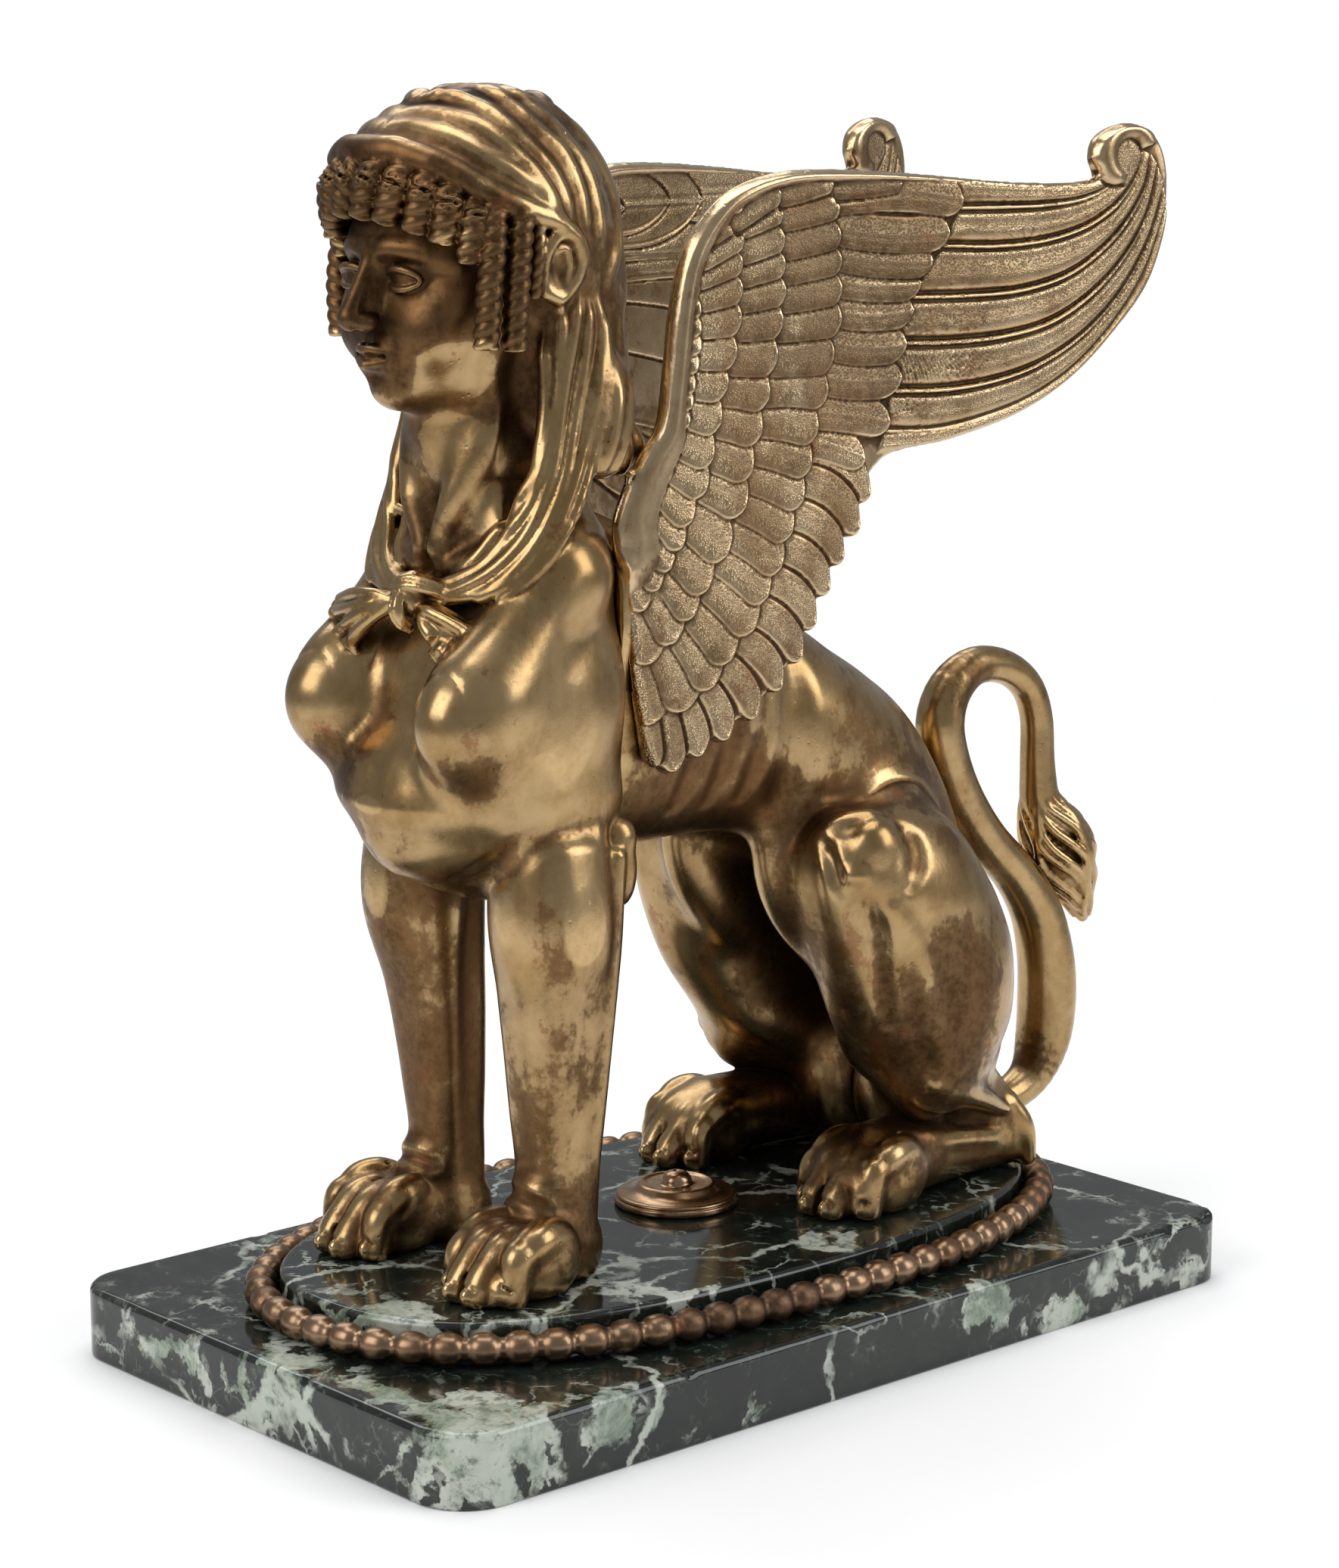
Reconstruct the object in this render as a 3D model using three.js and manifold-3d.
// Seated winged sphinx in cast bronze on an oval marble step and a rectangular
// marble plinth.  Millimetres, +Z up, the sphinx looks along -Y, its left side
// is +X.  The origin is the centre of the plinth's underside.
import * as THREE from 'three';
import { mergeVertices } from 'three/addons/utils/BufferGeometryUtils.js';
import Module from 'manifold-3d';

const wasm = await Module();
wasm.setup();

// ---------------------------------------------------------------- sizes
const GAP = 0.3;                 // daylight between pieces that touch
const SLAB_W = 147.5;            // plinth across (x)
const SLAB_L = 250;              // plinth along (y)
const SLAB_T = 17.5;             // plinth thickness
const SLAB_CHAMFER = 1.5;        // top arris
const SLAB_R = [14, 10, 10, 12]; // plan corners: front left, back left, back right, front right

const STEP_A = 55, STEP_B = 105, STEP_N = 2.46; // oval step: half width, half length, squareness
const STEP_TOP = 26.3;           // top of the step above the plinth's underside
const STEP_BEVEL = 1.0;

const RING_A = 61.7, RING_B = 110.3, RING_N = 2.3; // bead moulding, centre line
const BEADS = 69, BEAD_R = 3.85, NECK_R = 2.45;

const BOSS_X = -3, BOSS_Y = 6;   // turned boss under the belly
const BOSS_PROFILE = [[0, 0], [15, 0], [15.3, 0.8], [15.3, 1.5], [14.3, 2.2], [11.6, 2.6],
  [10.9, 3.4], [9.6, 3.9], [6.2, 4.6], [4.4, 5.0], [3.2, 6.0], [2.8, 7.2], [1.9, 8.4], [0.8, 9.0], [0, 9.1]];

const SEAM_Y = -38;              // joint between the front and the rear castings
const FOOT_Z = STEP_TOP + GAP;   // soles

// Column tables are [z, x, y, half x, half y, squareness]; beam tables are
// [y, x, z, half x, half z, squareness].  The left side is listed, the right
// one is its mirror image.
const FORELEG = [
  [FOOT_Z, 21.0, -51.5, 8.2, 8.2, 2.4], [34, 20.8, -52, 8.8, 8.8, 2.5], [42, 20.4, -52, 8.6, 8.6, 2.6],
  [52, 20.0, -52.2, 8.4, 8.4, 2.7], [65, 20.2, -52.6, 9.2, 9.2, 2.8], [80, 20.9, -53.2, 10.3, 10.2, 2.8],
  [95, 22.0, -54.2, 11.6, 11.4, 2.8], [112, 22.8, -55, 12.5, 12.4, 2.8], [130, 22.6, -56, 12.2, 13, 2.4]];
const FOREPAW = [
  [-44, 20.3, 33.0, 5.5, 5.6, 2.2], [-49, 20.8, 35.0, 8.9, 8.2, 2.3], [-56, 21.5, 36.2, 10.2, 9.4, 2.4], [-64, 22.9, 36.0, 11.0, 9.2, 2.4],
  [-71, 23.8, 34.2, 11.2, 7.4, 2.4], [-77, 24.2, 32.2, 10.6, 5.4, 2.3], [-81, 24.3, 30.6, 8.4, 3.2, 2.2]];
const FORETOE_X = [15.6, 21.2, 27.2, 32.8];
const FORETOE_Y = [-75.5, -79.0, -78.5, -73.5];
const FORETOE_R = [3.6, 7.2, 5.2];

const TORSO = [
  [113.5, 0, -56, 7, 6, 2], [117.5, 0, -56, 18, 12, 2], [123, 0, -56, 26, 17.5, 2.2], [130, 0, -56, 31.5, 24, 2.3],
  [140, 0, -56.5, 32.5, 32.5, 2.3], [149, 0, -56, 31, 31, 2.3], [158, 0, -54, 29.5, 26.5, 2.3], [167, 0, -53, 28.5, 25.5, 2.3],
  [176, 0, -52, 28, 23.5, 2.3], [185, 0, -51, 28, 20.5, 2.3], [192, 0, -50, 27.5, 19.5, 2.4], [198, 0, -50, 26.5, 18.5, 2.4], [205, 0, -51, 22, 17.5, 2.3],
  [213, 0, -55.5, 15.8, 15.8, 2], [222, 0, -58, 15.2, 15.8, 2], [234, 0, -59, 15, 16, 2]];
const BREAST = [24.0, -78.5, 157.5, 15.5, 15.5, 16];   // x, y, z and three radii
const ELBOW = [27.5, -40.0, 124.0, 3.6, 5.2, 11];

const HEAD = [
  [227.5, 0, -66, 7, 8, 2], [231, 0, -64, 15, 16, 2], [237, 0, -61, 20, 24, 2.1], [245, 0, -58.5, 24.5, 29, 2.1], [255, 0, -57.5, 27.2, 31.5, 2.1],
  [264, 0, -57.5, 28.5, 33.3, 2.1], [272, 0, -58, 28.3, 34, 2.1], [279, 0, -58, 26.5, 31.8, 2.1], [285, 0, -58, 23.7, 28.3, 2.1], [290, 0, -57.5, 20.2, 24, 2.05],
  [294, 0, -57, 15.6, 18.4, 2], [297, 0, -56.8, 9.5, 11, 2], [298.5, 0, -56.8, 3, 3.4, 2]];
const VEIL = [   // cloth hanging behind the neck
  [212, 0, -38, 25, 12, 2.6], [218, 0, -38, 26, 17, 2.7], [226, 0, -42.5, 26, 16, 2.8], [236, 0, -43.5, 26.5, 17, 2.8],
  [246, 0, -45, 27, 18.5, 2.6], [258, 0, -47, 27.5, 21, 2.3]];
const LAPPET = { pts: [[23.5, -49, 232], [25, -52, 218], [26, -57, 206], [25.2, -62.5, 197], [20, -68.5, 190.5], [11.5, -73, 186], [3, -75.5, 182.5], [0, -76, 181.5]],
  wide: [9, 8.5, 8, 7.5, 7, 6, 4.5, 4], deep: [4, 3.6, 3.4, 3.4, 3.2, 3.2, 3.2, 3.2] };
const BOW_END = [13.2, -80.2, 175.2, 7.6, 3.6, 7.0];
const KNOT = [0, -77.5, 181.5, 5, 4.2, 4.6];

const TRUNK = [
  [-45, 0, 163.5, 26.5, 41.5, 2.5], [-30, 0, 162, 26.5, 40.5, 2.5], [-15, 0, 158, 26.2, 37, 2.4], [0, 0, 154.5, 26, 33.5, 2.3],
  [20, 0, 148, 26, 29.5, 2.3], [40, 0, 137, 26.5, 29, 2.3], [55, 0, 124, 26.5, 33, 2.3], [68, 0, 108, 25.5, 39.5, 2.3],
  [80, 0, 92, 22, 42, 2.2], [90, 0, 80, 16.5, 38, 2.1], [97, 0, 72, 8, 24, 2]];
const HAUNCH = [
  [34, 23, 81, 8.5, 10, 2.1], [42, 23, 77, 10.5, 13, 2.1], [50, 23, 71, 12, 16, 2.1], [60, 24.5, 64.7, 14, 23, 2.1], [71, 28.2, 59.6, 15.8, 26.2, 2.1],
  [80, 29.6, 56.3, 16.5, 28, 2.1], [90, 30.2, 53.4, 17, 28.8, 2.1], [101, 30.4, 49.4, 17, 28.2, 2.1], [112, 31, 44.7, 15.5, 25.5, 2.1],
  [121, 30.5, 42, 12.5, 20.5, 2.1], [127, 29, 40, 8.5, 13, 2]];
const KNEECAP = [37.0, 33.0, 118.5, 7, 8.5, 8];
const HINDFOOT = [
  [93, 24.3, 34, 4.5, 5.5, 2.2], [87, 24.3, 35.4, 8.8, 8.7, 2.4], [72, 25.8, 36.2, 9.4, 9.5, 2.4], [56, 27.8, 36.8, 10.4, 10.1, 2.4],
  [43, 29.3, 37.2, 11.9, 10.5, 2.4], [35, 29.9, 35.2, 12.2, 8.5, 2.4], [29.5, 30, 33.2, 11.3, 6.4, 2.3], [26, 30, 31.5, 9, 4, 2.2]];
const HINDTOE_X = [20.7, 26.6, 32.9, 38.6];
const HINDTOE_Y = [31.0, 27.2, 28.0, 34.0];
const HINDTOE_R = [3.7, 7.4, 5.4];

const TAIL = { pts: [[88, 42], [100, 34.5], [110, 32.0], [120, 32.6], [129.5, 37], [135.2, 46], [136.8, 57], [135.8, 69], [131, 82],
  [122, 93.5], [111, 104], [102, 115.5], [96, 126.5], [93.6, 136.5], [97, 145], [105.5, 150], [116.5, 148.8], [125.4, 143], [129.6, 134],
  [130.3, 122], [131.3, 111], [136, 99.5], [141.5, 90], [145, 81.5], [146.2, 76]],
  r: [7, 5.8, 5.0, 4.8, 5.6, 6.3, 6.7, 6.8, 6.5, 6.0, 5.8, 5.9, 6.2, 6.3, 5.8, 5.0, 4.5, 4.3, 4.3, 4.7, 6.2, 8.6, 8.2, 5.2, 2.0] };

// Wing outline in the y-z plane, from the front of the root up and round.
const WING = [[-39.5, 199], [-37, 208], [-32, 216.5], [-27.2, 223], [-25, 236], [-23.4, 248], [-20.6, 259.5], [-15, 268.5], [-6, 275.5], [8, 279],
  [26, 279], [48, 277.5], [72, 275.3], [92, 274.6], [101, 276], [99.6, 280], [101.5, 285], [107.5, 288.2], [114.5, 288], [120.5, 284.3], [123.4, 276],
  [122.4, 262], [117.5, 250], [108, 239.5], [94, 228], [78, 220], [58, 215], [40, 212.8], [34, 209], [32.5, 200], [26.5, 188.5], [19, 175],
  [11, 161.5], [1, 152.5], [-11, 146], [-24, 141.8], [-30.5, 145], [-33.5, 155], [-35.5, 168], [-36.7, 184]];
const WING_T = 6.2;              // thickness with the feathers
const wingX = (y, z) => 31.6 + 0.122 * y - 0.012 * (z - 175);   // mid-plane, splayed outwards to the rear

// ---------------------------------------------------------------- helpers
const lerp = (a, b, t) => a + (b - a) * t;
function station(table, t) {
  const f = t * (table.length - 1), i = Math.min(Math.floor(f), table.length - 2);
  return table[i].map((v, k) => lerp(v, table[i + 1][k], f - i));
}
const sup = (c, n) => Math.sign(c) * Math.abs(c) ** (2 / n);

// A unit cylinder reshaped so that its rows follow a table of stations.
function loft(table, beam = false, around = 12, grow = 0) {
  const g = new THREE.CylinderGeometry(1, 1, 1, around, table.length - 1);
  const p = g.attributes.position;
  for (let i = 0; i < p.count; i++) {
    const t = THREE.MathUtils.clamp(p.getY(i) + 0.5, 0, 1);
    const r = Math.min(1, Math.hypot(p.getX(i), p.getZ(i))), th = Math.atan2(p.getZ(i), p.getX(i));
    const [l, cx, cc, a, b, n] = station(table, t);
    const u = r * (a + grow) * sup(Math.cos(th), n), v = r * (b + grow) * sup(Math.sin(th), n);
    if (beam) p.setXYZ(i, cx + u, l, cc + v); else p.setXYZ(i, cx + u, cc + v, l);
  }
  return g;
}
function ellipsoid([x, y, z, a, b, c], around = 12, high = 8, grow = 0) {
  const g = new THREE.SphereGeometry(1, around, high);
  g.rotateX(Math.PI / 2);
  g.scale(a + grow, b + grow, c + grow);
  g.translate(x, y, z);
  return g;
}
// A unit cylinder bent along a curve; wide lies across the curve, deep off it.
function sweep(points, wide, deep, outward, around = 8, rows = points.length * 2 - 2) {
  const curve = new THREE.CatmullRomCurve3(points.map(q => new THREE.Vector3(...q)));
  const g = new THREE.CylinderGeometry(1, 1, 1, around, rows);
  const p = g.attributes.position, at = (list, t) => {
    const f = t * (list.length - 1), i = Math.min(Math.floor(f), list.length - 2);
    return lerp(list[i], list[i + 1], f - i);
  };
  for (let i = 0; i < p.count; i++) {
    const t = THREE.MathUtils.clamp(p.getY(i) + 0.5, 0, 1);
    const c = curve.getPoint(t), tan = curve.getTangent(t);
    const out = outward(c).addScaledVector(tan, -outward(c).dot(tan)).normalize();
    const side = new THREE.Vector3().crossVectors(tan, out);
    const q = c.addScaledVector(side, p.getX(i) * at(wide, t)).addScaledVector(out, p.getZ(i) * at(deep, t));
    p.setXYZ(i, q.x, q.y, q.z);
  }
  return g;
}
function mirror(g) {
  const m = g.clone();
  m.scale(-1, 1, 1);
  return m;
}

function solid(geometry) {
  let g = geometry.clone();
  for (const k of Object.keys(g.attributes)) if (k !== 'position') g.deleteAttribute(k);
  g = mergeVertices(g, 1e-4);
  const v = new Float32Array(g.attributes.position.array), t = [];
  const ix = g.index.array;
  for (let i = 0; i < ix.length; i += 3) {
    if (ix[i] !== ix[i + 1] && ix[i + 1] !== ix[i + 2] && ix[i + 2] !== ix[i]) t.push(ix[i], ix[i + 1], ix[i + 2]);
  }
  // outward winding: the signed volume must be positive
  let vol = 0;
  for (let i = 0; i < t.length; i += 3) {
    const [a, b, c] = [t[i] * 3, t[i + 1] * 3, t[i + 2] * 3];
    vol += v[a] * (v[b + 1] * v[c + 2] - v[b + 2] * v[c + 1]) - v[a + 1] * (v[b] * v[c + 2] - v[b + 2] * v[c])
      + v[a + 2] * (v[b] * v[c + 1] - v[b + 1] * v[c]);
  }
  if (vol < 0) for (let i = 0; i < t.length; i += 3) [t[i + 1], t[i + 2]] = [t[i + 2], t[i + 1]];
  return new wasm.Manifold(new wasm.Mesh({ numProp: 3, vertProperties: v, triVerts: new Uint32Array(t) }));
}
const join = (...list) => list.map(g => (g instanceof wasm.Manifold ? g : solid(g))).reduce((a, b) => a.add(b));
// The pieces of a casting overlap, so a pocket shut inside them is metal too.
const filled = m => m.decompose().filter(q => volume(q) > 50).reduce((a, b) => a.add(b));
function volume(m) {
  const o = m.getMesh(), v = o.vertProperties, n = o.numProp, t = o.triVerts;
  let vol = 0;
  for (let i = 0; i < t.length; i += 3) {
    const [a, b, c] = [t[i] * n, t[i + 1] * n, t[i + 2] * n];
    vol += v[a] * (v[b + 1] * v[c + 2] - v[b + 2] * v[c + 1]) - v[a + 1] * (v[b] * v[c + 2] - v[b + 2] * v[c])
      + v[a + 2] * (v[b] * v[c + 1] - v[b + 1] * v[c]);
  }
  return vol / 6;
}
function slab(x0, x1, y0, y1, z0, z1) {
  const g = new THREE.BoxGeometry(x1 - x0, y1 - y0, z1 - z0);
  g.translate((x0 + x1) / 2, (y0 + y1) / 2, (z0 + z1) / 2);
  return solid(g);
}
function geometryOf(m) {
  const o = m.getMesh(), g = new THREE.BufferGeometry();
  const n = o.numProp, pos = new Float32Array(o.vertProperties.length / n * 3);
  for (let i = 0; i < pos.length / 3; i++) for (let k = 0; k < 3; k++) pos[i * 3 + k] = o.vertProperties[i * n + k];
  g.setAttribute('position', new THREE.BufferAttribute(pos, 3));
  g.setIndex(new THREE.BufferAttribute(new Uint32Array(o.triVerts), 1));
  g.computeVertexNormals();
  return g;
}

// ---------------------------------------------------------------- marble
function plinth() {
  const outline = inset => {
    const s = new THREE.Shape(), w = SLAB_W / 2 - inset, l = SLAB_L / 2 - inset;
    const r = SLAB_R.map(q => q - inset);
    s.moveTo(w, -l + r[0]);
    s.lineTo(w, l - r[1]); s.absarc(w - r[1], l - r[1], r[1], 0, Math.PI / 2);
    s.lineTo(-w + r[2], l); s.absarc(-w + r[2], l - r[2], r[2], Math.PI / 2, Math.PI);
    s.lineTo(-w, -l + r[3]); s.absarc(-w + r[3], -l + r[3], r[3], Math.PI, Math.PI * 1.5);
    s.lineTo(w - r[0], -l); s.absarc(w - r[0], -l + r[0], r[0], Math.PI * 1.5, Math.PI * 2);
    return s;
  };
  return new THREE.ExtrudeGeometry(outline(SLAB_CHAMFER), { depth: SLAB_T, curveSegments: 5,
    bevelEnabled: true, bevelThickness: SLAB_CHAMFER, bevelSize: SLAB_CHAMFER, bevelSegments: 1 });
}
function plinthSolid() {
  // the bevels run past both faces of the extrusion: the lower one is cut off square
  const g = plinth();
  g.translate(0, 0, -SLAB_CHAMFER);
  return solid(g).intersect(slab(-200, 200, -200, 200, 0, SLAB_T + 1));
}

function oval(a, b, n, count = 36) {
  const pts = [];
  for (let i = 0; i < count; i++) {
    const t = (i + 0.5) / count * Math.PI * 2;
    pts.push(new THREE.Vector2(a * sup(Math.cos(t), n), b * sup(Math.sin(t), n)));
  }
  return new THREE.Shape(pts);
}
function step() {
  const h = STEP_TOP - SLAB_T - GAP;
  const g = new THREE.ExtrudeGeometry(oval(STEP_A, STEP_B, STEP_N), { depth: h - STEP_BEVEL, bevelEnabled: false });
  const top = new THREE.ExtrudeGeometry(oval(STEP_A - STEP_BEVEL, STEP_B - STEP_BEVEL, STEP_N), { depth: h, bevelEnabled: false });
  g.translate(0, 0, SLAB_T + GAP); top.translate(0, 0, SLAB_T + GAP);
  return join(g, top);
}

// ---------------------------------------------------------------- bronze
function beadRing() {
  const per = 2, rows = BEADS * per, N = 2880, pts = [], len = [0];
  for (let i = 0; i <= N; i++) {
    const t = i / N * Math.PI * 2;
    pts.push([RING_A * sup(Math.cos(t), RING_N), RING_B * sup(Math.sin(t), RING_N)]);
    if (i) len.push(len[i - 1] + Math.hypot(pts[i][0] - pts[i - 1][0], pts[i][1] - pts[i - 1][1]));
  }
  const at = s => {
    s = ((s % 1) + 1) % 1 * len[N];
    let lo = 0, hi = N;
    while (hi - lo > 1) { const m = (lo + hi) >> 1; if (len[m] <= s) lo = m; else hi = m; }
    const f = (s - len[lo]) / (len[hi] - len[lo]);
    return [lerp(pts[lo][0], pts[hi][0], f), lerp(pts[lo][1], pts[hi][1], f)];
  };
  const g = new THREE.TorusGeometry(10, 1, 6, rows);
  const p = g.attributes.position, zc = SLAB_T + GAP + BEAD_R;
  for (let i = 0; i < p.count; i++) {
    const x = p.getX(i), y = p.getY(i), z = p.getZ(i), ang = (Math.atan2(y, x) / (Math.PI * 2) + 1) % 1;
    const k = Math.round(ang * rows), s = k / rows, rr = Math.hypot(x, y) - 10;
    const bead = k % per === 0 ? NECK_R : BEAD_R, c = at(s), d = at(s + 1e-3), e = at(s - 1e-3);
    const nx = d[1] - e[1], ny = -(d[0] - e[0]), nl = Math.hypot(nx, ny);
    p.setXYZ(i, c[0] + nx / nl * rr * bead, c[1] + ny / nl * rr * bead, zc + z * bead);
  }
  return solid(g);
}
function boss() {
  const g = new THREE.LatheGeometry(BOSS_PROFILE.map(q => new THREE.Vector2(...q)), 14);
  g.rotateX(Math.PI / 2);
  g.translate(BOSS_X, BOSS_Y, STEP_TOP + GAP);
  return solid(g);
}
function toes(xs, ys, [rx, ry, rz]) {
  return xs.map((x, i) => ellipsoid([x, ys[i], FOOT_Z + rz * 0.86, rx, ry, rz], 6, 4));
}

function front() {
  const side = [loft(FORELEG, false, 10), loft(FOREPAW, true, 10), ...toes(FORETOE_X, FORETOE_Y, FORETOE_R), ellipsoid(BREAST, 10, 8)];
  const legs = side.flatMap(g => [g, mirror(g)]);
  const lap = sweep(LAPPET.pts, LAPPET.wide, LAPPET.deep, c => new THREE.Vector3(c.x, c.z > 200 ? (c.y + 45) * 0.4 : c.y + 40, 0), 6, 10);
  const trims = [ellipsoid(BOW_END, 6, 5), lap].flatMap(g => [g, mirror(g)]);
  const body = join(...legs, loft(TORSO, false, 16), loft(HEAD, false, 14), loft(VEIL, false, 14), ...trims, ellipsoid(KNOT, 6, 5),
    loft(TRUNK.slice(0, 3), true, 14));
  const cut = body.subtract(slab(-60, 60, SEAM_Y - GAP / 2, 80, 0, 207)).subtract(slab(-60, 60, -200, 0, -5, FOOT_Z));
  return filled(join(cut, ellipsoid(ELBOW, 8, 6), mirror(ellipsoid(ELBOW, 8, 6))));
}
function tailSolid() {
  return sweep(TAIL.pts.map(([y, z]) => [0, y, z]), TAIL.r, TAIL.r, () => new THREE.Vector3(1, 0, 0), 7, 34);
}
function rear() {
  const side = [loft(HAUNCH, false, 12), loft(HINDFOOT, true, 10), ellipsoid(KNEECAP, 8, 6), ...toes(HINDTOE_X, HINDTOE_Y, HINDTOE_R)];
  const body = join(loft(TRUNK, true, 14), ...side.flatMap(g => [g, mirror(g)]), tailSolid());
  const tabs = join(ellipsoid(ELBOW, 8, 6, GAP), mirror(ellipsoid(ELBOW, 8, 6, GAP)));
  return filled(body.subtract(slab(-60, 60, -200, SEAM_Y + GAP / 2, 0, 260)).subtract(slab(-60, 60, -200, 200, -5, FOOT_Z)).subtract(tabs));
}
function wing(keepClear) {
  const s = new THREE.Shape(WING.map(q => new THREE.Vector2(...q)));
  const g = new THREE.ExtrudeGeometry(s, { depth: WING_T, bevelEnabled: false });
  const p = g.attributes.position;
  for (let i = 0; i < p.count; i++) {
    const y = p.getX(i), z = p.getY(i), d = p.getZ(i) - WING_T / 2;
    p.setXYZ(i, wingX(y, z) + d, y, z);
  }
  return solid(g).subtract(keepClear);
}

// ---------------------------------------------------------------- scene
const BRONZE = { color: 0x8a6a34, roughness: 0.34, metalness: 0.95 };
const RED_BRONZE = { color: 0x7b5636, roughness: 0.38, metalness: 0.9 };
const MARBLE = { color: 0x23272a, roughness: 0.12, metalness: 0 };
const group = new THREE.Group();
function add(name, manifold, look) {
  const m = new THREE.Mesh(geometryOf(manifold), new THREE.MeshStandardMaterial(look));
  m.name = name;
  group.add(m);
}

const frontCasting = front();
const rearCasting = rear();
const clear = join(loft(TORSO, false, 16, GAP), loft(TRUNK, true, 14, GAP), loft(VEIL, false, 14, GAP), loft(HEAD, false, 16, GAP));
const wingLeft = wing(clear);

add('marble_plinth', plinthSolid(), MARBLE);
add('oval_marble_step', step(), MARBLE);
add('bead_ring', beadRing(), RED_BRONZE);
add('rosette_boss', boss(), RED_BRONZE);
add('sphinx_front', frontCasting, BRONZE);
add('sphinx_body', rearCasting, BRONZE);
add('wing_left', wingLeft, BRONZE);
add('wing_right', solid(mirror(geometryOf(wingLeft))), BRONZE);

export default group;
